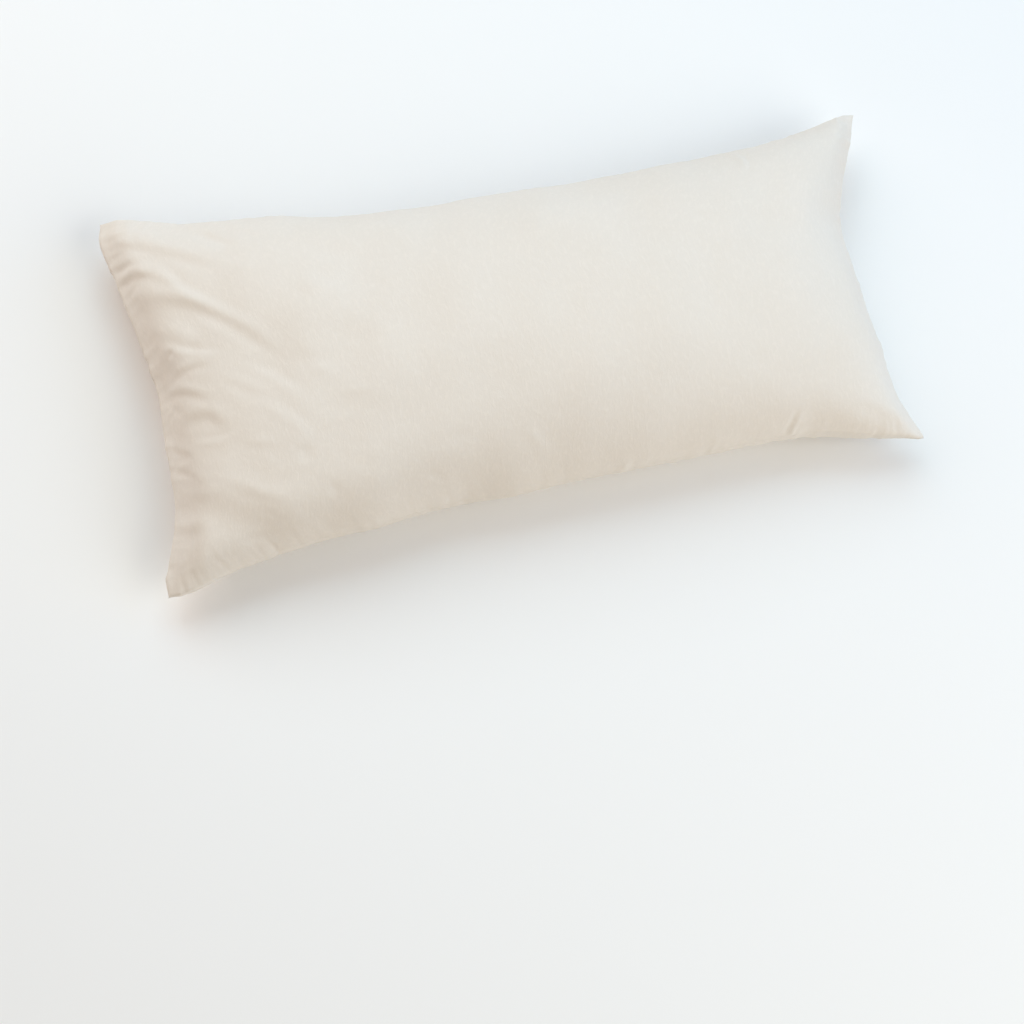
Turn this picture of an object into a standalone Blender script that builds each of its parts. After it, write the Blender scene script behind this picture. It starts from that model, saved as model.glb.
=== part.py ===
"""A filled pillowcase lying on its back: two cotton panels sewn together round one edge,
plump in the middle, drawn in along its four sides and pulled out to an ear at each corner.

Lengths are in metres. X runs along the case, Y across it from the lower long side to the
upper one, and Z points up out of its face. The floor it rests on is z = 0.
"""

import bmesh
import bpy
import numpy as np

# The filled case
CROWN_OVER_SEAM = 0.078        # the face's crown, above the sheet across the seam
BACK_UNDER_SEAM = 0.095        # how far the back would hang if nothing held it up
SEAM_LEVEL = 0.050             # height of the seam along the middle of each side
SEAM_RISE = 0.17               # length of side over which the seam climbs from an ear's tip
REST_BLEND = 0.010             # how softly the back turns on to the flat patch it rests on

# The ears' tips: where each corner of the case ends up
TIPS = {
    "upper left": (-0.3955, 0.1905, 0.037),
    "upper right": (0.4065, 0.1855, 0.042),
    "lower right": (0.3880, -0.1825, 0.036),
    "lower left": (-0.3955, -0.1955, 0.037),
}

# Each side's draw-in from the straight line between its tips. At either end: how far from
# the tip it starts, over what length it deepens, and how deep it then is.
SIDES = {
    # side: (first tip, last tip, (start, ear length, depth), (start, ear length, depth))
    "upper": ("upper left", "upper right", (0.018, 0.280, 0.0405), (0.015, 0.200, 0.031)),
    "lower": ("lower left", "lower right", (0.012, 0.235, 0.026), (0.006, 0.175, 0.028)),
    "left": ("lower left", "upper left", (0.018, 0.085, 0.023), (0.053, 0.160, 0.0245)),
    "right": ("lower right", "upper right", (0.003, 0.080, 0.024), (0.012, 0.160, 0.058)),
}

# The crown is a product of two arches, one along the case and one across it. A lower
# power is a squarer arch, and both are squarer towards the ears.
ARCH_ALONG, ARCH_ALONG_LESS = 0.43, 0.10
ARCH_ACROSS, ARCH_ACROSS_LESS = 0.50, 0.11
EAR_THINNER = 0.55             # share of the thickness that is gone at an ear's very tip

# Soft folds of the face: the line each follows in plan, half its width and its height
# (a trough's height is below zero).
FOLDS = {
    # fold: (path, half width, height)
    "upper ear trough": (
        ((-0.374, 0.150), (-0.345, 0.137), (-0.318, 0.114), (-0.293, 0.085)), 0.010, -0.0030),
    "upper ear ridge": (((-0.386, 0.140), (-0.337, 0.093), (-0.305, 0.060)), 0.013, 0.0030),
    "main trough": (
        ((-0.363, 0.098), (-0.326, 0.062), (-0.294, 0.032), (-0.251, -0.015)), 0.013, -0.0050),
    "main ridge": (((-0.332, 0.026), (-0.292, -0.004), (-0.247, -0.040)), 0.015, 0.0035),
    "upper inner ridge": (((-0.300, 0.130), (-0.255, 0.078)), 0.014, 0.0020),
    "lower inner ridge": (((-0.289, -0.080), (-0.271, -0.107)), 0.013, 0.0020),
    "lower ear trough": (((-0.362, -0.135), (-0.370, -0.170)), 0.010, -0.0030),
    "lower right crease": (((0.222, -0.163), (0.230, -0.148), (0.236, -0.136)), 0.007, -0.0035),
    "right ear trough": (((0.300, -0.148), (0.330, -0.156), (0.364, -0.172)), 0.010, -0.0040),
    "upper right crease": (((0.234, 0.138), (0.246, 0.120), (0.232, 0.104)), 0.008, -0.0020),
}

# The mesh: lines along and across each panel, closer near the seam and the left ears
LINES_ALONG, LINES_ACROSS = 78, 37
CLOSER_AT_SEAM = 0.45
CLOSER_AT_LEFT = 0.14

COTTON = (0.79, 0.75, 0.68, 1.0)


def deepen(run, ear_length):
    """0 at an ear's tip, rising as 1 - (1 - x)^2 to 1 where the ear ends."""
    x = np.clip(run / ear_length, 0.0, 1.0)
    return 1.0 - (1.0 - x) ** 2


def side_line(t, side):
    """Points on one side of the seam: the straight line between its tips, moved in towards
    the case by the draw-in and raised to the seam's level between the ears."""
    first, last, at_first, at_last = SIDES[side]
    a, b = np.array(TIPS[first]), np.array(TIPS[last])
    length = np.hypot(*(b - a)[:2])
    run = t * length
    depth = at_first[2] + (at_last[2] - at_first[2]) * t
    depth = depth * deepen(run - at_first[0], at_first[1])
    depth = depth * deepen(length - run - at_last[0], at_last[1])
    line = a + (b - a) * t[..., None]
    middle = np.array([0.0, 0.0])
    inward = np.array([-(b - a)[1], (b - a)[0]]) / length
    inward = inward if inward @ (middle - (a + b)[:2] / 2) > 0 else -inward
    line[..., :2] += depth[..., None] * inward
    climb = deepen(run, SEAM_RISE) * deepen(length - run, SEAM_RISE)
    line[..., 2] += (SEAM_LEVEL - line[..., 2]) * climb
    return line


def seam_sheet(u, v):
    """The sheet stretched between the four sides (a Coons patch): each pair of opposite
    sides blended straight across, less the four-cornered sheet between the tips."""
    s, t = (u + 1) / 2, (v + 1) / 2
    along = side_line(s, "lower") * (1 - t)[..., None] + side_line(s, "upper") * t[..., None]
    across = side_line(t, "left") * (1 - s)[..., None] + side_line(t, "right") * s[..., None]
    tip = {name: np.array(point) for name, point in TIPS.items()}
    lower = tip["lower left"] * (1 - s)[..., None] + tip["lower right"] * s[..., None]
    upper = tip["upper left"] * (1 - s)[..., None] + tip["upper right"] * s[..., None]
    return along + across - lower * (1 - t)[..., None] - upper * t[..., None]


def arch(u, v):
    """0 on the seam and 1 at the crown: (1 - u^2)^p (1 - v^2)^q, with both powers falling
    towards the ears, thinned at the ears by the eighth power of u v."""
    p = ARCH_ALONG - ARCH_ALONG_LESS * v**2
    q = ARCH_ACROSS - ARCH_ACROSS_LESS * u**2
    lift = np.clip(1 - u**2, 0, 1) ** p * np.clip(1 - v**2, 0, 1) ** q
    return lift * (1 - EAR_THINNER * (u * v) ** 8)


def fold_height(x, y, path, half_width):
    """A fold's bell across its path, exp(-(distance / half width)^2), fading to nothing at
    both of the path's ends."""
    path = np.array(path)
    steps = np.hypot(*np.diff(path, axis=0).T)
    length, passed = steps.sum(), 0.0
    nearest, run = np.full_like(x, np.inf), np.zeros_like(x)
    for a, b, step in zip(path[:-1], path[1:], steps):
        t = ((x - a[0]) * (b - a)[0] + (y - a[1]) * (b - a)[1]) / step**2
        t = np.clip(t, 0, 1)
        distance = np.hypot(x - a[0] - t * (b - a)[0], y - a[1] - t * (b - a)[1])
        closer = distance < nearest
        nearest = np.where(closer, distance, nearest)
        run = np.where(closer, passed + t * step, run)
        passed += step
    fade = np.clip(2.5 * np.minimum(run, length - run) / length + 0.25, 0, 1)
    return np.exp(-((nearest / half_width) ** 2)) * fade


def soft_floor(z):
    """z held at the floor: exactly 0 below it, and rounded where the two meet."""
    k = REST_BLEND
    return np.where(z > k, z, np.where(z > -k, (z + k) ** 2 / (4 * k), 0.0))


def panel(u, v, side):
    """Points of the face (side 1) or of the back (side -1)."""
    points = seam_sheet(u, v)
    lift = arch(u, v)
    if side > 0:
        points[..., 2] += CROWN_OVER_SEAM * lift
        off_seam = np.clip(lift / 0.35, 0, 1)
        for path, half_width, height in FOLDS.values():
            points[..., 2] += height * off_seam * fold_height(
                points[..., 0], points[..., 1], path, half_width)
    else:
        points[..., 2] = soft_floor(points[..., 2] - BACK_UNDER_SEAM * lift)
    return points


def closer_lines(w, to_left=0.0):
    """The grid's even lines, -1 to 1, moved closer together at both ends and to the left."""
    w = (1 - CLOSER_AT_SEAM) * w + CLOSER_AT_SEAM * np.sin(np.pi * w / 2)
    return w - to_left * (1 - w**2)


def add_panel(mesh, side):
    """Adds one panel: an even grid whose points are then put in their places."""
    grid = bmesh.ops.create_grid(mesh, x_segments=LINES_ALONG, y_segments=LINES_ACROSS, size=1.0)
    flat = np.array([vertex.co for vertex in grid["verts"]])
    u = closer_lines(flat[:, 0], CLOSER_AT_LEFT)
    v = closer_lines(flat[:, 1])
    for vertex, point in zip(grid["verts"], panel(u, v, side)):
        vertex.co = point
    if side < 0:
        faces = {face for vertex in grid["verts"] for face in vertex.link_faces}
        bmesh.ops.reverse_faces(mesh, faces=list(faces))


def centred(mesh):
    """Moves the mesh so that the middle of its plan lies on the origin."""
    points = np.array([vertex.co for vertex in mesh.verts])
    middle = (points.min(axis=0) + points.max(axis=0)) / 2
    bmesh.ops.translate(mesh, verts=mesh.verts, vec=(-middle[0], -middle[1], 0.0))


def fabric(name, colour):
    """A plain matt cloth material."""
    material = bpy.data.materials.new(name)
    material.use_nodes = True
    shader = material.node_tree.nodes["Principled BSDF"]
    shader.inputs["Base Color"].default_value = colour
    shader.inputs["Roughness"].default_value = 0.9
    return material


def main():
    for item in list(bpy.data.objects):
        bpy.data.objects.remove(item, do_unlink=True)
    home = bpy.data.collections.new("pillowcase")
    bpy.context.scene.collection.children.link(home)

    mesh = bmesh.new()
    add_panel(mesh, 1)
    add_panel(mesh, -1)
    bmesh.ops.remove_doubles(mesh, verts=mesh.verts, dist=1e-5)
    centred(mesh)
    data = bpy.data.meshes.new("pillowcase")
    mesh.to_mesh(data)
    mesh.free()
    data.shade_smooth()
    data.materials.append(fabric("cotton", COTTON))
    case = bpy.data.objects.new("pillowcase", data)
    home.objects.link(case)


main()
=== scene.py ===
"""A filled pillowcase of brushed cotton, lying on its back: two panels sewn together round
a knife edge, plump in the middle, drawn in along its sides, with an ear at each corner.

Metres throughout. X runs along the case, Y across it, Z out of its face; the floor is z = 0.
"""

import math

import bpy
import numpy as np
from mathutils import Matrix, Vector


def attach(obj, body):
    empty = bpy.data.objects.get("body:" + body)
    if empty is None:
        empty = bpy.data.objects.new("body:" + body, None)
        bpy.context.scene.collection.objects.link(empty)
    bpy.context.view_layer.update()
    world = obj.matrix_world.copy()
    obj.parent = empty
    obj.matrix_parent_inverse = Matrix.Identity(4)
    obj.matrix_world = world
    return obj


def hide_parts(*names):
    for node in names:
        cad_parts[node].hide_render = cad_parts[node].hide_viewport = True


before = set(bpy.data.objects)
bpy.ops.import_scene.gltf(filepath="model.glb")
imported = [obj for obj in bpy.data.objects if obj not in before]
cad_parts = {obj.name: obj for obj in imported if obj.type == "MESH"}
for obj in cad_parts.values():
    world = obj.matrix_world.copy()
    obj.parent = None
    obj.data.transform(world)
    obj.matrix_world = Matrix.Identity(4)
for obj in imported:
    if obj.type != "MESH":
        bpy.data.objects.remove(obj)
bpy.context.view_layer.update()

# --- Sizes of the case -----------------------------------------------------------------------

FLAT_LENGTH, FLAT_WIDTH = 0.800, 0.400   # the case laid flat, seam to seam
HALF_LENGTH, HALF_WIDTH = FLAT_LENGTH / 2, FLAT_WIDTH / 2
CROWN_OVER_SEAM = 0.078                  # the face's crown, above the sheet across the seam
BACK_UNDER_SEAM = 0.095                  # how far the back would hang if nothing held it up
SEAM_LEVEL = 0.050                       # height of the seam along the middle of each side
SEAM_RISE = 0.17                         # length of side over which it climbs from an ear's tip
REST_BLEND = 0.010                       # how softly the back turns on to its resting patch
FLOOR_FADE = 0.008                       # the back's relief fades out over this height
PLAN_SHIFT = (-0.0055, 0.0025)           # brings the middle of the plan on to the origin
SIDE_SLACK, SIDE_SLACK_REACH = 0.45, 0.038   # the cloth leaves the short sides more flatly

# The ears' tips: where each corner of the case ends up
TIPS = {
    "upper left": (-0.3965, 0.1908, 0.037),
    "upper right": (0.4115, 0.1868, 0.042),
    "lower right": (0.3885, -0.1790, 0.036),
    "lower left": (-0.3955, -0.1955, 0.037),
}

# Each side's draw-in from the straight line between its tips. At either end: how far from
# the tip it starts, over what length it deepens, and how deep it then is.
SIDES = {
    # side: (first tip, last tip, (start, ear length, depth), (start, ear length, depth))
    "upper": ("upper left", "upper right", (0.018, 0.280, 0.0405), (0.015, 0.200, 0.031)),
    "lower": ("lower left", "lower right", (0.012, 0.235, 0.026), (0.006, 0.175, 0.028)),
    "left": ("lower left", "upper left", (0.018, 0.085, 0.023), (0.053, 0.160, 0.0245)),
    "right": ("lower right", "upper right", (0.003, 0.080, 0.024), (0.0, 0.200, 0.062)),
}

# No side is a clean curve: where the filling pushes the seam out a little, or lets it in
SEAM_WAVES = {
    # side: (distance from its first tip, half width, how far out)
    "upper": ((0.080, 0.034, -0.0048), (0.176, 0.042, 0.0062), (0.268, 0.050, 0.0015),
              (0.430, 0.060, -0.0015), (0.593, 0.065, 0.0038)),
    "lower": ((0.030, 0.022, 0.0028), (0.125, 0.045, 0.0016), (0.205, 0.042, 0.0042),
              (0.349, 0.030, 0.0022), (0.560, 0.150, 0.0017), (0.720, 0.042, 0.0036)),
    "left": ((0.048, 0.016, 0.0010), (0.196, 0.028, -0.0022), (0.328, 0.014, -0.0026),
             (0.366, 0.018, 0.0036)),
    "right": ((0.036, 0.020, -0.0022), (0.096, 0.030, 0.0026), (0.160, 0.020, 0.0008),
              (0.236, 0.034, -0.0052), (0.326, 0.031, 0.0050)),
}
WAVE_FREE_TIPS = 0.008                   # the waves die away over this length of each tip

# The crown is a product of two arches, squarer towards the ears, and thinner at their tips
ARCH_ALONG, ARCH_ALONG_LESS = 0.43, 0.10
ARCH_ACROSS, ARCH_ACROSS_LESS = 0.50, 0.11
EAR_THINNER = 0.55

# The sides of the flat case, for what is laid out from the seam
FLAT_SIDES = {
    # side: (corner that it starts from, its direction, the way into the case, its length)
    "left": ((-HALF_LENGTH, -HALF_WIDTH), (0, 1), (1, 0), FLAT_WIDTH),
    "right": ((HALF_LENGTH, -HALF_WIDTH), (0, 1), (-1, 0), FLAT_WIDTH),
    "lower": ((-HALF_LENGTH, -HALF_WIDTH), (1, 0), (0, 1), FLAT_LENGTH),
    "upper": ((-HALF_LENGTH, HALF_WIDTH), (1, 0), (0, -1), FLAT_LENGTH),
}

# --- How the cotton settles on its filling ---------------------------------------------------

SETTLE_LINES = (160, 80)                 # cells along and across each panel while it settles
SETTLE_STEPS = 28
SETTLE_CAP = 0.012                       # no point moves further than this
SETTLED_FLAT = (0.772, 0.377)            # the relaxed cotton: a little less than the form needs
HELD_UNDER = 0.00001                     # points lower than this are held where they rest
SIDES_HELD = 0.9                         # share of the moves that the short sides don't make
SETTLING_COTTON = {
    # the cloth solver's own settings
    "quality": 8,
    "mass": 0.01,
    "tension_stiffness": 200, "compression_stiffness": 5,
    "shear_stiffness": 5, "bending_stiffness": 20,
    "tension_damping": 5, "compression_damping": 5,
    "shear_damping": 5, "bending_damping": 0.5,
    "air_damping": 2,
    "pin_stiffness": 1.0,
    "use_pressure": True, "use_pressure_volume": True,
    "uniform_pressure_force": 0.02, "pressure_factor": 200,
}

# --- Soft folds that the settling doesn't give -----------------------------------------------

# Each fold follows a smooth line through its points. Across the line it is a ridge (or a
# trough, where negative) and a step, which rises to its left and falls to its right.
FOLDS = {
    # fold: (path, half width, ridge, step)
    "upper ear fold": (((-0.404, 0.186), (-0.387, 0.161), (-0.367, 0.148), (-0.344, 0.134),
                        (-0.312, 0.112), (-0.285, 0.090)), 0.0085, 0.0, 0.0012),
    "upper ear swell": (((-0.396, 0.182), (-0.345, 0.160), (-0.309, 0.139), (-0.263, 0.090)),
                        0.0110, 0.0, -0.0008),
    "upper edge tuck": (((-0.312, 0.158), (-0.289, 0.134), (-0.266, 0.120)),
                        0.0045, 0.0, 0.0004),
    "upper edge hollow": (((-0.296, 0.170), (-0.269, 0.144), (-0.240, 0.121)),
                          0.0060, 0.0, 0.0003),
    "ear crest": (((-0.395, 0.146), (-0.369, 0.130), (-0.350, 0.115), (-0.330, 0.083),
                   (-0.297, 0.051), (-0.272, 0.024)), 0.0070, 0.0, -0.0007),
    "ear gather": (((-0.405, 0.124), (-0.387, 0.121), (-0.374, 0.118), (-0.352, 0.103)),
                   0.0062, 0.0, 0.0013),
    "ear gather above": (((-0.405, 0.140), (-0.390, 0.136), (-0.372, 0.133)),
                         0.0035, 0.0, 0.0004),
    "main fold": (((-0.388, 0.102), (-0.356, 0.084), (-0.330, 0.071), (-0.312, 0.057),
                   (-0.289, 0.035), (-0.269, 0.013), (-0.245, -0.018)), 0.0080, 0.0, 0.0011),
    "main fold's foot": (((-0.386, 0.096), (-0.352, 0.078), (-0.326, 0.062), (-0.296, 0.044)),
                         0.0140, 0.0, 0.0016),
    "below the main fold": (((-0.350, 0.072), (-0.319, 0.038), (-0.290, 0.014)),
                            0.0070, -0.0003, 0.0002),
    "side crest": (((-0.374, 0.054), (-0.349, 0.031), (-0.330, 0.021), (-0.300, 0.012)),
                   0.0050, 0.0, -0.0008),
    "side fold": (((-0.364, 0.002), (-0.353, 0.008), (-0.336, 0.009), (-0.316, 0.005)),
                  0.0045, 0.0, 0.0007),
    "side hollow": (((-0.386, 0.032), (-0.360, 0.018), (-0.330, 0.004)),
                    0.0120, -0.0005, 0.0006),
    "side gather": (((-0.376, -0.001), (-0.361, -0.006), (-0.345, -0.015), (-0.324, -0.029)),
                    0.0055, 0.0, 0.0010),
    "side gather's end": (((-0.323, -0.004), (-0.295, -0.025), (-0.266, -0.044)),
                          0.0060, 0.0, 0.0004),
    "inner crest": (((-0.300, 0.004), (-0.272, -0.015), (-0.257, -0.030), (-0.235, -0.052)),
                    0.0070, 0.0, -0.0005),
    "low side gather": (((-0.365, -0.035), (-0.345, -0.038), (-0.332, -0.042),
                         (-0.312, -0.060)), 0.0085, 0.0, 0.0011),
    "low side crest": (((-0.357, -0.056), (-0.340, -0.063), (-0.322, -0.066),
                        (-0.302, -0.058)), 0.0045, 0.0, -0.0005),
    "short gather": (((-0.376, -0.050), (-0.348, -0.080)), 0.0040, 0.0, 0.0004),
    "short lower gather": (((-0.377, -0.070), (-0.347, -0.100)), 0.0040, 0.0, 0.0005),
    "pale patch": (((-0.380, -0.086), (-0.355, -0.105), (-0.325, -0.110)),
                   0.0070, 0.0, -0.0005),
    "lower ear tuck": (((-0.384, -0.139), (-0.366, -0.140), (-0.348, -0.141)),
                       0.0090, -0.0004, 0.0007),
    "lower ear trough": (((-0.364, -0.128), (-0.366, -0.153), (-0.374, -0.174),
                          (-0.383, -0.192)), 0.0120, -0.0010, 0.0010),
    "lower inner crest": (((-0.290, -0.030), (-0.268, -0.052), (-0.249, -0.071),
                           (-0.238, -0.095)), 0.0070, 0.0, -0.0004),
    "shoulder hollow": (((-0.382, -0.080), (-0.350, -0.111), (-0.320, -0.130),
                         (-0.290, -0.147), (-0.245, -0.172)), 0.0240, 0.0, 0.0027),
    "lower inner fold": (((-0.330, -0.106), (-0.298, -0.126), (-0.268, -0.138)),
                         0.0070, 0.0, 0.0005),
    "dimple": (((-0.3600, 0.0300), (-0.3520, 0.0280)), 0.0026, -0.0012, 0.0),
    "lower right crease": (((0.243, -0.133), (0.236, -0.144), (0.232, -0.152),
                            (0.228, -0.166)), 0.0040, 0.0, 0.0011),
    "right ear trough": (((0.280, -0.130), (0.319, -0.144), (0.342, -0.156), (0.376, -0.175)),
                         0.0080, -0.0006, 0.0004),
    "upper right crease": (((0.238, 0.160), (0.249, 0.130), (0.233, 0.108)),
                           0.0050, 0.0, -0.0006),
}
FOLD_REACH = 3                           # half widths past its path at which a fold ends
FOLD_ENDS = 0.4                          # share of its length over which each end fades
STEP_SCALE = 2.33                        # 1 / the highest value of d exp(-d^2)
LINE_STEPS = 6                           # places at which each gap of a fold's path is read
FOLDS_OFF_SEAM = 0.003                   # folds, gathers and crumples die away this near the seam

# Short gathers where the seam draws up the cloth: each starts at the seam and runs in
GATHERS = {
    # side: (how many, depth on the face, depth on the back)
    "left": (24, 0.00021, 0.00060), "right": (20, 0.00020, 0.00060),
    "lower": (34, 0.00014, 0.00045), "upper": (34, 0.00014, 0.00045),
}
GATHER_LENGTH, GATHER_WIDTH = (0.018, 0.055), (0.0030, 0.0070)   # each from, to
GATHER_PLACE = (0.1, 0.9)                # where a gather may lie in its share of the side
GATHER_SLANT = math.radians(17.5)        # spread of their headings about square to the seam
GATHER_DEPTHS = (0.4, 1.5)               # least and most, times the side's depth
GATHER_OUTSIDE = 0.3                     # share of its length that lies outside the seam
GATHER_BEND, GATHER_RIDGE = 0.12, 0.4    # times its length, and times its depth
GATHER_SEED = 4

# Crumples: shallow dents and rises, longest along the case, thickest at its left end
CRUMPLES = {
    # panel: (how many, how far each reaches along and across, height)
    "face": (240, (0.006, 0.022), (0.004, 0.011), 0.00034),
    "back": (190, (0.010, 0.034), (0.006, 0.018), 0.00045),
}
CRUMPLES_FADE = 0.14                     # the length over which they thin out from the left end
CRUMPLE_TURN = (-0.35, 0.45)             # mean and spread of their headings, in radians
CRUMPLE_REACH = 2.6                      # each ends at this many times its reach along
CRUMPLE_SEED = 11

# --- The finished mesh -----------------------------------------------------------------------

FINE_LINES = (380, 176)                  # cells along and across each panel
CLOSER_AT_ENDS = 0.45                    # how much closer the lines along stand near the ends
SEAM_LINES = (0.0, 0.0008, 0.0017, 0.0027, 0.0040, 0.0056, 0.0076, 0.0100)   # from the seam
SINKS_TOWARDS = 3                        # the rim is drawn in towards this line from the seam
SECTION_POINTS = 801                     # places at which a middle section is measured
BACK_MAP_BELOW = 0.480                   # how far below the face the map lays the back
TINY = 1e-12                             # keeps a length that is divided by from being 0

# The seam: the two panels meet in a fine groove between two rounded lips. The allowance
# folded inside shows as a faint ledge, and the thread draws the cloth up in small puckers.
SEAM_SUNK = 0.0011
LIP_AT, LIP_WIDTH, LIP_HEIGHT = 0.0030, 0.0022, 0.0005
LEDGE_AT, LEDGE_EDGE, LEDGE_HEIGHT = 0.0085, 0.0003, 0.0003
RIM_FREE = 0.0012                        # all of these die away this near to the seam itself
PUCKER_REACH = 0.016
PUCKERS = {
    # ripple: (wavelength, height, phase)
    "stitch draw": (0.0073, 0.00014, 0.3),
    "fine": (0.0117, 0.00022, 1.9),
    "middle": (0.0191, 0.00034, 4.1),
    "long": (0.0370, 0.00045, 2.6),
}
PUCKER_PHASES = {
    # side: (what its ripples' phases are ahead by, and what their swelling's is)
    "upper": (0, 0), "lower": (7, 3), "left": (14, 6), "right": (21, 9),
}
PUCKERS_EVEN, PUCKERS_SWELL = 0.55, 0.45   # shares of them that are even, and that swell
PUCKERS_SWELL_OVER = 0.091               # the wavelength of that swelling

# The filling isn't quite even: long low swells, each a wave across the face
SWELLS = {
    # swell: (wavelength, heading in degrees, height, phase)
    "broad": (0.310, 12, 0.0010, 0.9),
    "across": (0.190, 78, 0.0008, 2.2),
    "slant": (0.147, 141, 0.0006, 5.0),
    "cross slant": (0.113, 38, 0.0005, 3.3),
    "small": (0.081, 104, 0.0003, 1.1),
    "small slant": (0.067, 163, 0.0003, 0.2),
}
SWELLS_FULL = 0.35                       # share of the crown's height at which they are whole


# --- The form of the case --------------------------------------------------------------------

def bell(x, width):
    """exp(-(x / width)^2)."""
    return np.exp(-((x / width) ** 2))


def deepen(run, ear_length):
    """0 at an ear's tip, rising as 1 - (1 - x)^2 to 1 where the ear ends."""
    x = np.clip(run / ear_length, 0.0, 1.0)
    return 1.0 - (1.0 - x) ** 2


def between(a, b, share):
    """The points a (1 - share) + b share."""
    return a * (1 - share)[..., None] + b * share[..., None]


def side_line(t, side):
    """One side of the seam: the straight line between its tips, moved in by the draw-in and
    out by the waves, and raised to the seam's level between the ears."""
    first, last, at_first, at_last = SIDES[side]
    a, b = np.array(TIPS[first]), np.array(TIPS[last])
    length = np.hypot(*(b - a)[:2])
    from_first, from_last = t * length, length - t * length
    depth = at_first[2] + (at_last[2] - at_first[2]) * t
    depth = depth * deepen(from_first - at_first[0], at_first[1])
    depth = depth * deepen(from_last - at_last[0], at_last[1])
    waves = sum(out * bell(from_first - at, half_width) for at, half_width, out in SEAM_WAVES[side])
    for from_tip in (from_first, from_last):
        waves = waves * (1 - bell(from_tip, WAVE_FREE_TIPS))
    depth = depth - waves
    line = a + (b - a) * t[..., None]
    inward = np.array([-(b - a)[1], (b - a)[0]]) / length
    inward = inward if inward @ (a + b)[:2] < 0 else -inward
    line[..., :2] += depth[..., None] * inward
    climb = deepen(from_first, SEAM_RISE) * deepen(from_last, SEAM_RISE)
    line[..., 2] += (SEAM_LEVEL - line[..., 2]) * climb
    return line


def seam_sheet(u, v):
    """The sheet stretched between the four sides: both pairs of opposite sides, each blended
    straight across, less the four-cornered sheet between the tips."""
    s, t = (u + 1) / 2, (v + 1) / 2
    tip = {name: np.array(point) for name, point in TIPS.items()}
    along = between(side_line(s, "lower"), side_line(s, "upper"), t)
    across = between(side_line(t, "left"), side_line(t, "right"), s)
    lower = between(tip["lower left"], tip["lower right"], s)
    upper = between(tip["upper left"], tip["upper right"], s)
    sheet = along + across - between(lower, upper, t)
    sheet[..., :2] += PLAN_SHIFT
    return sheet


def arch(u, v):
    """0 on the seam and 1 at the crown: (1 - u^2)^p (1 - v^2)^q, with both powers falling
    towards the ears, thinned at the ears by the eighth power of u v."""
    p = ARCH_ALONG - ARCH_ALONG_LESS * v**2
    q = ARCH_ACROSS - ARCH_ACROSS_LESS * u**2
    lift = np.clip(1 - u**2, 0, 1) ** p * np.clip(1 - v**2, 0, 1) ** q
    return lift * (1 - EAR_THINNER * (u * v) ** 8)


def soft_floor(z):
    """z held at the floor: exactly 0 below it, and a parabola (z + k)^2 / 4k where the two
    meet, within k of the floor."""
    k = REST_BLEND
    return np.where(z > k, z, np.where(z > -k, (z + k) ** 2 / (4 * k), 0.0))


def form(u, v, panel):
    """A panel of the filled case before it settles: the sheet across the seam, with the arch
    raised over it for the face, or hung under it and held by the floor for the back."""
    points = seam_sheet(u, v)
    lift = arch(u, v) * (1 - SIDE_SLACK * bell(1 - abs(u), SIDE_SLACK_REACH))
    if panel == "face":
        points[..., 2] += CROWN_OVER_SEAM * lift
    else:
        points[..., 2] = soft_floor(points[..., 2] - BACK_UNDER_SEAM * lift)
    return points


def even_lengths(w, section):
    """Where cloth lines at w, even along the cloth, lie on the form: the arc length of the
    middle section is summed and read backwards."""
    fine = np.linspace(-1, 1, SECTION_POINTS)
    steps = np.linalg.norm(np.diff(section(fine), axis=0), axis=1)
    run = np.concatenate([[0], np.cumsum(steps)])
    return np.interp(w, 2 * run / run[-1] - 1, fine)


def cloth_form(along, across, panel):
    """The form's points for cloth lines that are even on the flat panel. The lines bunch on
    the steep flanks, and by the fourth power stay even on the seam itself."""
    on_u = even_lengths(along, lambda fine: form(fine, 0 * fine, panel))
    on_v = even_lengths(across, lambda fine: form(0 * fine, fine, panel))
    even_u, even_v = np.meshgrid(along, across)
    bunched_u, bunched_v = np.meshgrid(on_u, on_v)
    u = even_u + (bunched_u - even_u) * (1 - even_v**4)
    v = even_v + (bunched_v - even_v) * (1 - even_u**4)
    return form(u, v, panel)


# --- The two panels as one closed mesh -------------------------------------------------------

def cell_corners(grid):
    """What a grid holds at the four corners of each of its cells, going round the cell."""
    corners = np.stack([grid[:-1, :-1], grid[:-1, 1:], grid[1:, 1:], grid[1:, :-1]], 2)
    return corners.reshape(-1, 4, *grid.shape[2:])


def sewn_faces(across, along):
    """Quads of a face panel and a back panel that share the points of their rim. Returns
    the quads, and the index of each panel's points in one list: the face's, then the
    back's inner ones."""
    face = np.arange(across * along).reshape(across, along)
    back = face.copy()
    inner = back[1:-1, 1:-1]
    back[1:-1, 1:-1] = face.size + np.arange(inner.size).reshape(inner.shape)
    return np.concatenate([cell_corners(face), cell_corners(back)[:, ::-1]]), face, back


def sewn_points(face, back):
    """The two panels' points in the order of sewn_faces."""
    return np.concatenate([face.reshape(-1, 3), back[1:-1, 1:-1].reshape(-1, 3)])


def mesh_object(name, points, faces, smooth=True):
    """An object at the origin whose mesh has these points and faces."""
    mesh = bpy.data.meshes.new(name)
    mesh.from_pydata(points.tolist(), [], faces.tolist())
    mesh.update()
    if smooth:
        mesh.shade_smooth()
    piece = bpy.data.objects.new(name, mesh)
    bpy.context.scene.collection.objects.link(piece)
    return piece


def enclosed_volume(points, faces):
    """A sixth of the sum of a . (b x c) over the triangles of the quads."""
    triangles = np.concatenate([faces[:, [0, 1, 2]], faces[:, [0, 2, 3]]])
    a, b, c = (points[triangles[:, i]] for i in range(3))
    return float((a * np.cross(b, c)).sum() / 6)


# --- Settling --------------------------------------------------------------------------------

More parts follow.
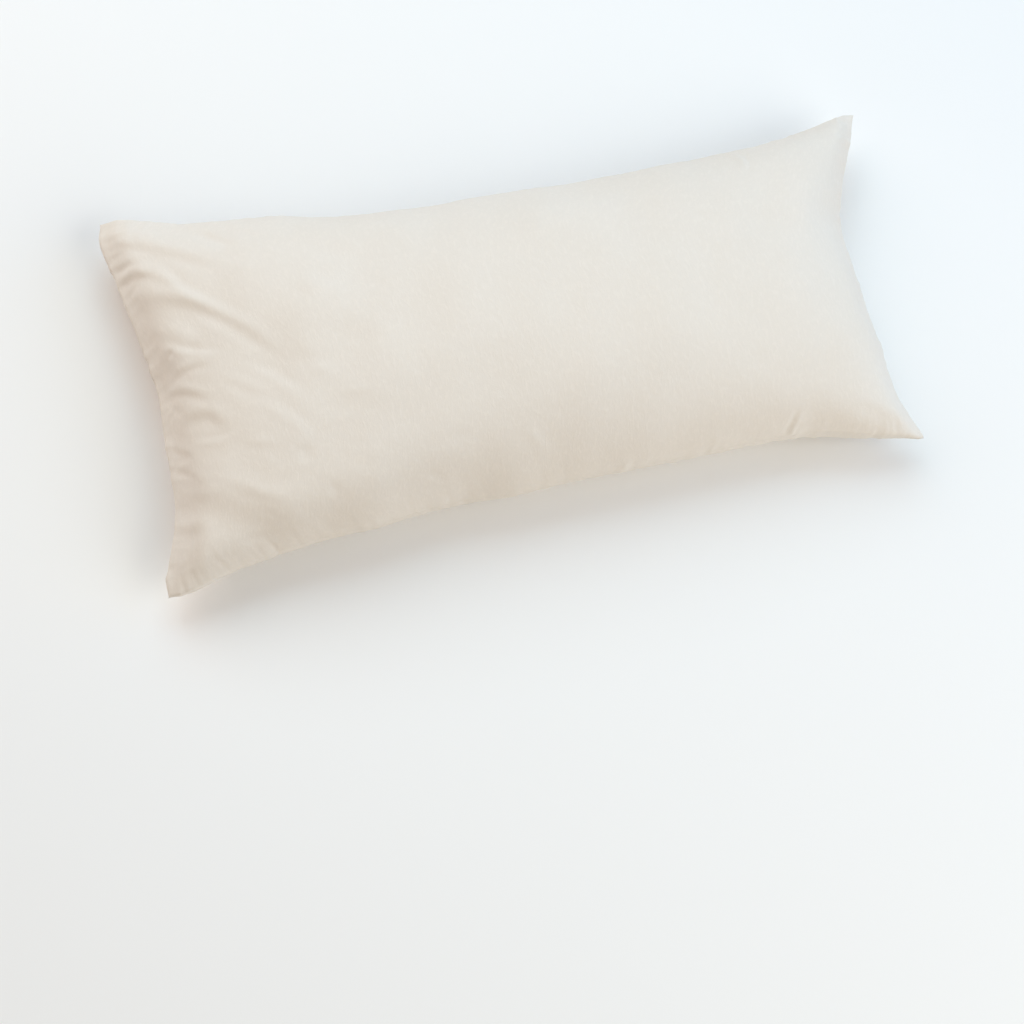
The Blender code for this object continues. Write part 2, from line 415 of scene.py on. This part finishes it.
def blown_up(start, flat, faces):
    """Where the points end when cotton that was cut flat is blown up from start, to the
    volume that it encloses there. The points that rest on the floor are held."""
    bag = mesh_object("bag", start, faces)
    bag.shape_key_add(name="Basis")
    cut = bag.shape_key_add(name="cut flat")
    cut.data.foreach_set("co", flat.astype(np.float32).ravel())
    cut.value = 0.0
    held = bag.vertex_groups.new(name="held")
    held.add(np.flatnonzero(start[:, 2] < HELD_UNDER).tolist(), 1.0, "REPLACE")

    cloth = bag.modifiers.new("settle", "CLOTH")
    for setting, value in SETTLING_COTTON.items():
        setattr(cloth.settings, setting, value)
    cloth.settings.vertex_group_mass = held.name
    cloth.settings.rest_shape_key = cut
    cloth.settings.target_volume = enclosed_volume(start, faces)
    cloth.settings.effector_weights.gravity = 0.0
    cloth.collision_settings.use_collision = False
    cloth.point_cache.frame_start, cloth.point_cache.frame_end = 1, SETTLE_STEPS
    for step in range(1, SETTLE_STEPS + 1):
        bpy.context.scene.frame_set(step)
    bpy.context.view_layer.update()
    settled = bag.evaluated_get(bpy.context.evaluated_depsgraph_get()).to_mesh()
    end = np.empty(len(start) * 3, np.float32)
    settled.vertices.foreach_get("co", end)
    bpy.data.objects.remove(bag)
    bpy.context.scene.frame_set(1)
    return end.reshape(-1, 3).astype(float)


def settling_moves(along, across):
    """How far the points of the face and of the back move as the cotton settles: to where
    it is blown up, each move held under the cap by cap tanh(size / cap)."""
    face, back = (cloth_form(along, across, panel) for panel in ("face", "back"))
    faces, face_at, back_at = sewn_faces(len(across), len(along))
    start = sewn_points(face, back)
    u, v = np.meshgrid(along, across)
    flat = np.stack([u * SETTLED_FLAT[0] / 2, v * SETTLED_FLAT[1] / 2, 0 * u], -1)
    end = blown_up(start, sewn_points(flat, flat), faces)

    move = end - start
    size = np.linalg.norm(move, axis=1, keepdims=True)
    move *= SETTLE_CAP * np.tanh(size / SETTLE_CAP) / np.maximum(size, TINY)
    print(f"settled: mean move {size.mean() * 1000:.2f} mm, most {size.max() * 1000:.2f} mm, "
          f"volume {enclosed_volume(end, faces) * 1000:.2f} litres")
    return move[face_at], move[back_at]


def cubic_weights(fine, coarse):
    """A matrix that reads values on coarse lines at fine lines: each row holds the four
    weights of a cubic through the two nearest coarse lines, whose slope at each of them is
    that of the straight line between its neighbours."""
    at = np.interp(fine, coarse, np.arange(len(coarse)))
    i = np.clip(np.floor(at).astype(int), 0, len(coarse) - 2)
    x = (at - i)[:, None]
    w = np.concatenate([
        -x / 2 + x**2 - x**3 / 2, 1 - 5 * x**2 / 2 + 3 * x**3 / 2,
        x / 2 + 2 * x**2 - 3 * x**3 / 2, -(x**2) / 2 + x**3 / 2], axis=1)
    weights = np.zeros((len(fine), len(coarse)))
    for k in range(4):
        column = np.clip(i + k - 1, 0, len(coarse) - 1)
        np.add.at(weights, (np.arange(len(fine)), column), w[:, k])
    return weights


# --- Detail laid on the settled panels --------------------------------------------------------

def smooth_line(points):
    """The points joined by cubics, each gap read at a few even steps. The slope at a point is
    that of the straight line between its neighbours."""
    p = np.array(points, float)
    p = np.concatenate([2 * p[:1] - p[1:2], p, 2 * p[-1:] - p[-2:-1]])
    t = (np.arange(LINE_STEPS) / LINE_STEPS)[:, None]
    line = [
        p[i] + t / 2 * (p[i + 1] - p[i - 1]
                        + t * (2 * p[i - 1] - 5 * p[i] + 4 * p[i + 1] - p[i + 2]
                               + t * (3 * (p[i] - p[i + 1]) + p[i + 2] - p[i - 1])))
        for i in range(1, len(p) - 2)]
    return np.concatenate(line + [p[-2:-1]])


def fold_height(x, y, path, half_width, ridge, step):
    """Across a fold's line, at d half widths from it: ridge exp(-d^2) + step 2.33 d exp(-d^2),
    fading smoothly to nothing at both of the line's ends."""
    path = smooth_line(path)
    gaps = np.hypot(*np.diff(path, axis=0).T)
    length, passed = gaps.sum(), 0.0
    total = np.zeros_like(x)
    margin = FOLD_REACH * half_width
    near = ((x > path[:, 0].min() - margin) & (x < path[:, 0].max() + margin)
            & (y > path[:, 1].min() - margin) & (y < path[:, 1].max() + margin))
    if not near.any():
        return total
    x, y = x[near], y[near]
    nearest, run, across = np.full_like(x, np.inf), np.zeros_like(x), np.zeros_like(x)
    for a, b, gap in zip(path[:-1], path[1:], gaps):
        t = np.clip(((x - a[0]) * (b - a)[0] + (y - a[1]) * (b - a)[1]) / gap**2, 0, 1)
        off_x, off_y = x - a[0] - t * (b - a)[0], y - a[1] - t * (b - a)[1]
        distance = np.hypot(off_x, off_y)
        left = np.sign((b - a)[0] * off_y - (b - a)[1] * off_x)
        closer = distance < nearest
        nearest = np.where(closer, distance, nearest)
        across = np.where(closer, left * distance, across)
        run = np.where(closer, passed + t * gap, run)
        passed += gap
    d = across / half_width
    fade = np.clip(np.minimum(run, length - run) / (FOLD_ENDS * length), 0, 1)
    fade = fade**2 * (3 - 2 * fade)
    total[near] = (ridge + step * STEP_SCALE * d) * np.exp(-(d**2)) * fade
    return total


def gathers(cloth_x, cloth_y, panel):
    """Short folds square to the seam, give or take a slant, at seeded places round the flat
    cloth. Each is a fold along three points, the middle one moved aside by its bend."""
    chance = np.random.default_rng(GATHER_SEED + (panel == "back"))
    total = np.zeros_like(cloth_x)
    for side, (*lines, length) in FLAT_SIDES.items():
        corner, along, inward = np.array(lines)
        count, on_face, on_back = GATHERS[side]
        for place in (np.arange(count) + chance.uniform(*GATHER_PLACE, count)) / count:
            slant = chance.normal(0, GATHER_SLANT)
            reach, width = chance.uniform(*GATHER_LENGTH), chance.uniform(*GATHER_WIDTH)
            depth = (on_face if panel == "face" else on_back) * chance.uniform(*GATHER_DEPTHS)
            depth *= chance.choice((-1, 1))
            a = corner + along * length * place - inward * GATHER_OUTSIDE * reach
            heading = inward * math.cos(slant) + along * math.sin(slant)
            b = a + (1 + GATHER_OUTSIDE) * reach * heading
            bend = along * reach * chance.uniform(-GATHER_BEND, GATHER_BEND)
            path = (a, (a + b) / 2 + bend, b)
            total += fold_height(cloth_x, cloth_y, path, width, GATHER_RIDGE * depth, depth)
    return total


def crumples(cloth_x, cloth_y, panel):
    """Seeded shallow bells, exp(-(a / along)^2 - (b / across)^2), each turned a little. On
    the face they thin out from the left end; on the back they lie all over."""
    count, along, across, height = CRUMPLES[panel]
    chance = np.random.default_rng(CRUMPLE_SEED + (panel == "back"))
    total = np.zeros_like(cloth_x)
    for _ in range(count):
        if panel == "face":
            x = chance.exponential(CRUMPLES_FADE) - HALF_LENGTH
        else:
            x = chance.uniform(-HALF_LENGTH, HALF_LENGTH)
        y = chance.uniform(-HALF_WIDTH, HALF_WIDTH)
        long, wide = chance.uniform(*along), chance.uniform(*across)
        turn, size = chance.normal(*CRUMPLE_TURN), height * chance.normal()
        reach = CRUMPLE_REACH * long
        near = (abs(cloth_x - x) < reach) & (abs(cloth_y - y) < reach)
        a, b = cloth_x[near] - x, cloth_y[near] - y
        a, b = a * math.cos(turn) + b * math.sin(turn), b * math.cos(turn) - a * math.sin(turn)
        total[near] += size * np.exp(-((a / long) ** 2) - (b / wide) ** 2)
    return total


def pucker(run, side):
    """The ripples along a side, summed as sines, which swell and fade along it by another."""
    ahead, swell_ahead = PUCKER_PHASES[side]
    total = np.zeros_like(run)
    for wavelength, height, phase in PUCKERS.values():
        total += height * np.sin(2 * np.pi * run / wavelength + phase + ahead)
    swell = np.sin(2 * np.pi * run / PUCKERS_SWELL_OVER + swell_ahead)
    return total * (PUCKERS_EVEN + PUCKERS_SWELL * swell)


def seam_relief(cloth_x, cloth_y, to_seam):
    """Height of the lips (a bell), the ledge (a logistic edge) and the puckers (dying away
    by exp(-distance / reach)) over a panel. All fade to nothing on the seam itself, which
    both panels share."""
    relief = LIP_HEIGHT * bell(to_seam - LIP_AT, LIP_WIDTH)
    relief += LEDGE_HEIGHT / (1 + np.exp((to_seam - LEDGE_AT) / LEDGE_EDGE))
    for side, (corner, along, inward, _) in FLAT_SIDES.items():
        distance = (cloth_x - corner[0]) * inward[0] + (cloth_y - corner[1]) * inward[1]
        run = cloth_x * along[0] + cloth_y * along[1]
        relief += pucker(run, side) * np.exp(-distance / PUCKER_REACH)
    return relief * (1 - bell(to_seam, RIM_FREE))


def swell_height(x, y):
    """The filling's unevenness: sines along their headings, summed."""
    total = np.zeros_like(x)
    for wavelength, heading, height, phase in SWELLS.values():
        turn = np.radians(heading)
        run = x * np.cos(turn) + y * np.sin(turn)
        total += height * np.sin(2 * np.pi * run / wavelength + phase)
    return total


def outward(points, panel):
    """Unit normals of a panel: the cross product of its two directions, out of the case."""
    along, across = np.gradient(points, axis=1), np.gradient(points, axis=0)
    normal = np.cross(along, across) if panel == "face" else np.cross(across, along)
    return normal / np.maximum(np.linalg.norm(normal, axis=-1, keepdims=True), TINY)


# --- The finished case -----------------------------------------------------------------------

def lines_from_seam(length, cells, closer=0.0):
    """Cloth lines from -1 to 1: the seam's own lines at each end, and between them lines that
    are even, or closer together towards the ends by a sine."""
    near = np.array(SEAM_LINES) * 2 / length - 1
    even = np.linspace(-1, 1, cells - 2 * len(near) + 3)
    middle = -near[-1] * (even + closer / math.pi * np.sin(math.pi * even))
    return np.concatenate([near[:-1], middle, -near[-2::-1]])


def dressed_panel(along, across, panel, move):
    """A panel's points: the form, moved as the cotton settled, but hardly at the short sides,
    then raised along its normals by the seam's relief, the gathers, the crumples and, on the
    face, the swells and the folds. The back stays on the floor."""
    u, v = np.meshgrid(along, across)
    cloth_x, cloth_y = u * HALF_LENGTH, v * HALF_WIDTH
    to_seam = np.minimum(HALF_LENGTH - abs(cloth_x), HALF_WIDTH - abs(cloth_y))
    points = cloth_form(along, across, panel)
    moved = 1 - SIDES_HELD * bell(1 - abs(u), SIDE_SLACK_REACH)
    points += moved[..., None] * move
    if panel == "back":
        points[..., 2] = np.maximum(points[..., 2], 0.0)
    x, y = points[..., 0], points[..., 1]
    soft = gathers(cloth_x, cloth_y, panel) + crumples(cloth_x, cloth_y, panel)
    if panel == "face":
        soft += sum(fold_height(x, y, *fold) for fold in FOLDS.values())
    relief = seam_relief(cloth_x, cloth_y, to_seam) + soft * (1 - bell(to_seam, FOLDS_OFF_SEAM))
    if panel == "face":
        relief += swell_height(x, y) * np.clip(arch(u, v) / SWELLS_FULL, 0, 1)
    else:
        relief *= np.clip(points[..., 2] / FLOOR_FADE, 0, 1)
    points += relief[..., None] * outward(points, panel)
    points[..., 2] = np.maximum(points[..., 2], 0.0)
    return points


def sink_seam(face, back):
    """Draws the rim that both panels share in towards the case, level, to the middle of the
    lines next to it."""
    n = SINKS_TOWARDS
    for rim, inner in ((np.s_[0, 1:-1], np.s_[n, 1:-1]), (np.s_[-1, 1:-1], np.s_[-n - 1, 1:-1]),
                       (np.s_[1:-1, 0], np.s_[1:-1, n]), (np.s_[1:-1, -1], np.s_[1:-1, -n - 1])):
        inward = (face[inner] + back[inner]) / 2 - face[rim]
        inward[..., 2] = 0.0
        size = np.linalg.norm(inward, axis=-1, keepdims=True)
        face[rim] += SEAM_SUNK * inward / np.maximum(size, TINY)


def lay_cloth_map(case, along, across):
    """The case's own map: where each corner of a quad lies on the flat cloth, in metres. The
    back panel is the mirror of the face and lies beside it."""
    u, v = np.meshgrid(along, across)
    cloth_x, cloth_y = u * HALF_LENGTH, v * HALF_WIDTH
    face = cell_corners(np.stack([cloth_x, cloth_y], -1))
    back = cell_corners(np.stack([-cloth_x, cloth_y - BACK_MAP_BELOW], -1))[:, ::-1]
    layer = case.data.uv_layers.new(name="cloth")
    layer.data.foreach_set("uv", np.concatenate([face, back]).astype(np.float32).ravel())


def build_case():
    """The two panels on fine lines, with the settling's moves read by cubics from its coarser
    ones, sewn into one closed mesh."""
    settle_along, settle_across = (np.linspace(-1, 1, cells + 1) for cells in SETTLE_LINES)
    along = lines_from_seam(FLAT_LENGTH, FINE_LINES[0], CLOSER_AT_ENDS)
    across = lines_from_seam(FLAT_WIDTH, FINE_LINES[1])
    read_along = cubic_weights(along, settle_along)
    read_across = cubic_weights(across, settle_across)
    panels = []
    for panel, move in zip(("face", "back"), settling_moves(settle_along, settle_across)):
        fine_move = np.einsum("ai,ijk,bj->abk", read_across, move, read_along)
        panels.append(dressed_panel(along, across, panel, fine_move))
    face, back = panels
    sink_seam(face, back)
    faces = sewn_faces(len(across), len(along))[0]
    case = mesh_object("filled_case", sewn_points(face, back), faces)
    lay_cloth_map(case, along, across)
    return case


# --- Brushed cotton ---------------------------------------------------------------------------

COTTON = (0.800, 0.725, 0.640, 1)        # undyed cotton, lightly brushed
PALER_COTTON = (0.796, 0.7279, 0.65024, 1)   # where the cloud left by washing is palest
THREAD = (0.00046, 0.00052)              # pitch of the plain weave, along and across
NAP = {
    # noise on the cloth: (length of its grains along and across, detail, roughness, distortion)
    "Fibres": ((0.0015, 0.0029), 4, 0.65, 0.6),   # fine fibres, brushed across the case
    "Tufts": ((0.0040, 0.0082), 3, 0.55, 0.3),    # tufts that catch the light
    "Slubs": ((0.0011, 0.0600), 1, 0.50, 0.0),    # a thicker thread here and there
}
WASHED = {
    # noise through the solid: (size of its grains, detail, roughness)
    "Cloud": (0.085, 3, 0.50),                    # slightly uneven colour
    "Crinkle": (0.026, 3, 0.45),                  # faint crinkles left by washing
}
# The part of a noise that counts: tufts and slubs show only where it peaks
SPANS = {"Tufts": (0.47, 0.72), "Slubs": (0.58, 0.76), "Cloud": (0.3, 0.7)}

# How light the cotton is: painted highlight on its raised tufts, painted shade between the fibres
TONE = 0.955
# fibres and tufts add painted highlight and shade that follow the relief; slubs and cloud are the
# cloth's own colour
TONE_AND_PAINTED_NAP_LIGHT = {"Fibres": 0.050, "Tufts": 0.030, "Slubs": -0.010, "Cloud": 0.020}
ROUGHNESS = (0.97, 0.86)                 # between the fibres, and on them
FIBRE_SPAN = (0.25, 0.75)                # the part of the fibres' noise that this follows
SLUBS_RAISED, WEAVE_RAISED = 0.3, 0.35   # against the tufts, and against the fibres
RELIEF = {
    # relief: (distance, strength)
    "crinkles": (0.0012, 0.6),
    "nap": (0.00022, 0.4),
    "weave": (0.0002, 0.32),
}
SOFT_SHEEN = {
    "Specular IOR Level": 0.20,
    "Sheen Weight": 0.22,
    "Sheen Roughness": 0.55,
    "Sheen Tint": (1.0, 0.97, 0.93, 1),
}


def add(tree, kind, inputs=(), **settings):
    """A node with its settings; each input is a number, a vector or another node's socket."""
    made = tree.nodes.new(kind)
    for name, value in settings.items():
        setattr(made, name, value)
    for name, value in dict(inputs).items():
        if isinstance(value, bpy.types.NodeSocket):
            tree.links.new(value, made.inputs[name])
        else:
            made.inputs[name].default_value = value
    return made


def maths(tree, operation, first, second=0.0, third=0.0):
    """The result of a Math node."""
    inputs = {0: first, 1: second, 2: third}
    return add(tree, "ShaderNodeMath", inputs, operation=operation).outputs[0]


def ranged(tree, value, low, high, to_low=0.0, to_high=1.0):
    """The value between low and high, stretched to lie between the other two."""
    inputs = {"Value": value, "From Min": low, "From Max": high,
              "To Min": to_low, "To Max": to_high}
    return add(tree, "ShaderNodeMapRange", inputs, clamp=True).outputs["Result"]


def bumped(tree, height, relief, normal=None):
    """The normal after a Bump node of that height, on top of another node's normal."""
    distance, strength = RELIEF[relief]
    inputs = {"Height": height, "Distance": distance, "Strength": strength}
    if normal is not None:
        inputs["Normal"] = normal
    return add(tree, "ShaderNodeBump", inputs).outputs["Normal"]


def on_cloth(tree):
    """The place on the flat cloth."""
    return add(tree, "ShaderNodeUVMap", uv_map="cloth").outputs["UV"]


def cloth_noise(tree, grain, detail, roughness, distortion):
    """Noise on the flat cloth whose grains are as long and as wide as grain says."""
    scale = (1 / grain[0], 1 / grain[1], 1)
    scaled = add(tree, "ShaderNodeMapping", {"Vector": on_cloth(tree), "Scale": scale})
    return add(tree, "ShaderNodeTexNoise", {
        "Vector": scaled.outputs["Vector"], "Scale": 1.0, "Detail": detail,
        "Roughness": roughness, "Distortion": distortion}).outputs["Fac"]


def solid_noise(tree, size, detail, roughness):
    """Noise through the solid's own space."""
    place = add(tree, "ShaderNodeTexCoord").outputs["Object"]
    return add(tree, "ShaderNodeTexNoise", {
        "Vector": place, "Scale": 1 / size, "Detail": detail,
        "Roughness": roughness}).outputs["Fac"]


def new_group(name, sockets):
    """An empty node group that puts out these values, and its output node."""
    tree = bpy.data.node_groups.new(name, "ShaderNodeTree")
    for socket in sockets:
        tree.interface.new_socket(socket, in_out="OUTPUT", socket_type="NodeSocketFloat")
    return tree, tree.nodes.new("NodeGroupOutput")


def plain_weave():
    """Height of the weave: the product of a sine along and one across, so that each thread
    goes over the next and under the one after."""
    tree, out = new_group("plain_weave", ["Height"])
    split = add(tree, "ShaderNodeSeparateXYZ", {"Vector": on_cloth(tree)})
    along, across = (
        maths(tree, "SINE", maths(tree, "MULTIPLY", split.outputs[axis], math.pi / pitch))
        for axis, pitch in zip("XY", THREAD))
    tree.links.new(ranged(tree, maths(tree, "MULTIPLY", along, across), -1, 1), out.inputs["Height"])
    return tree


def noise_group(name, noise, rows):
    """Puts out one noise for each row, the part that its span gives stretched to run from 0
    to 1: the raised fibres on the cloth, and what washing leaves through the solid."""
    tree, out = new_group(name, list(rows))
    for field, row in rows.items():
        value = noise(tree, *row)
        if field in SPANS:
            value = ranged(tree, value, *SPANS[field])
        tree.links.new(value, out.inputs[field])
    return tree


def brushed_cotton():
    """The case's one material. Its lightness is TONE plus each field times what it adds, which paints
    highlight on the raised fibres and tufts and shade between the fibres; its relief is crinkles, then
    the tufts and slubs, then the fibres over the weave."""
    material = bpy.data.materials.new("brushed_cotton")
    material.use_nodes = True
    tree = material.node_tree
    shader = tree.nodes["Principled BSDF"]
    fields = {}
    for made in (plain_weave(), noise_group("brushed_nap", cloth_noise, NAP),
                 noise_group("washed_cloud", solid_noise, WASHED)):
        group = add(tree, "ShaderNodeGroup", node_tree=made)
        fields.update({socket.name: socket for socket in group.outputs})

    # painted highlight on the raised fibres and tufts, painted shade between the fibres; slubs and
    # cloud are own colour
    tone_and_nap_light = TONE
    for name, share in TONE_AND_PAINTED_NAP_LIGHT.items():
        tone_and_nap_light = maths(tree, "MULTIPLY_ADD", fields[name], share, tone_and_nap_light)
    cotton = add(tree, "ShaderNodeMix", {"Factor": fields["Cloud"], "A": COTTON, "B": PALER_COTTON},
                 data_type="RGBA")
    colour = add(tree, "ShaderNodeVectorMath",
                 {"Vector": cotton.outputs["Result"], "Scale": tone_and_nap_light}, operation="SCALE")
    tree.links.new(colour.outputs["Vector"], shader.inputs["Base Color"])
    tree.links.new(ranged(tree, fields["Fibres"], *FIBRE_SPAN, *ROUGHNESS), shader.inputs["Roughness"])

    raised = maths(tree, "MULTIPLY_ADD", fields["Slubs"], SLUBS_RAISED, fields["Tufts"])
    fine = maths(tree, "MULTIPLY_ADD", fields["Height"], WEAVE_RAISED, fields["Fibres"])
    normal = bumped(tree, fields["Crinkle"], "crinkles")
    normal = bumped(tree, raised, "nap", normal)
    normal = bumped(tree, fine, "weave", normal)
    tree.links.new(normal, shader.inputs["Normal"])
    for name, value in SOFT_SHEEN.items():
        shader.inputs[name].default_value = value
    return material


case = build_case()
case.data.materials.append(brushed_cotton())
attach(case, "root")
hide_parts("pillowcase")

# --- Floor, light and camera -----------------------------------------------------------------

FLOOR_CORNERS = ((-6, -6, 0), (6, -6, 0), (6, 6, 0), (-6, 6, 0))
FLOOR_COLOUR, FLOOR_ROUGHNESS = (0.88, 0.865, 0.845, 1), 0.9
LAMP_DISTANCE, LAMP_SIZE = 3.0, 2.4      # from the origin, and the side of each square lamp
LAMPS = {
    # lamp: (direction it stands in, watts, colour)
    "tall_window": ((0.0, 0.643, 0.766), 44.5, (0.53, 0.82, 1.0)),
    "side_window": ((0.54, -0.54, 0.643), 50, (0.98, 1.0, 0.95)),
    "low_sky": ((0.866, 0.0, 0.5), 20.5, (0.05, 0.42, 1.0)),
    "warm_wall": ((-0.54, 0.54, 0.643), 36.5, (1.0, 0.87, 0.82)),
}
ROOM_COLOUR, ROOM_STRENGTH = (1.0, 0.845, 0.69, 1), 0.32

CAMERA_AT = (-0.3499, -0.4969, 1.5577)
CAMERA_AZIMUTH, CAMERA_ELEVATION, CAMERA_ROLL = -41.82, 74.01, -30.0   # degrees
CAMERA_LENS, CAMERA_SENSOR = 56.25, 36.0   # millimetres


def lay_floor():
    """A plain pale floor that carries the case and isn't part of it."""
    floor = mesh_object("floor", np.array(FLOOR_CORNERS, float), np.array([(0, 1, 2, 3)]), smooth=False)
    pale = bpy.data.materials.new("pale_floor")
    pale.use_nodes = True
    shader = pale.node_tree.nodes["Principled BSDF"]
    shader.inputs["Base Color"].default_value = FLOOR_COLOUR
    shader.inputs["Roughness"].default_value = FLOOR_ROUGHNESS
    floor.data.materials.append(pale)


def soft_lamp(name, direction, power, colour):
    """A square area light that looks at the case from a direction."""
    data = bpy.data.lights.new(name, "AREA")
    data.shape, data.size, data.energy, data.color = "SQUARE", LAMP_SIZE, power, colour
    lamp = bpy.data.objects.new(name, data)
    away = Vector(direction).normalized()
    lamp.location = away * LAMP_DISTANCE
    lamp.rotation_euler = away.to_track_quat("Z", "Y").to_euler()
    bpy.context.scene.collection.objects.link(lamp)


def light_room():
    """The lamps, and the even light that the room gives back."""
    for name, lamp in LAMPS.items():
        soft_lamp(name, *lamp)
    room = bpy.data.worlds.new("room")
    room.use_nodes = True
    background = room.node_tree.nodes["Background"]
    background.inputs["Color"].default_value = ROOM_COLOUR
    background.inputs["Strength"].default_value = ROOM_STRENGTH
    bpy.context.scene.world = room
    bpy.context.scene.view_settings.view_transform = "Standard"


def photo_camera():
    """Looks along the direction given by its azimuth and elevation, turned about it by the
    roll."""
    azimuth, elevation, roll = (
        math.radians(angle) for angle in (CAMERA_AZIMUTH, CAMERA_ELEVATION, CAMERA_ROLL))
    back = Vector((math.sin(azimuth) * math.cos(elevation),
                   -math.cos(azimuth) * math.cos(elevation), math.sin(elevation)))
    right = Vector((0, 0, 1)).cross(back).normalized()
    up = back.cross(right)
    turned_right = right * math.cos(roll) - up * math.sin(roll)
    turned_up = back.cross(turned_right)
    data = bpy.data.cameras.new("photo_view")
    data.lens, data.sensor_width = CAMERA_LENS, CAMERA_SENSOR
    camera = bpy.data.objects.new("photo_view", data)
    turned = Matrix((turned_right, turned_up, back)).transposed().to_4x4()
    camera.matrix_world = Matrix.Translation(CAMERA_AT) @ turned
    bpy.context.scene.collection.objects.link(camera)
    bpy.context.scene.camera = camera


lay_floor()
light_room()
photo_camera()
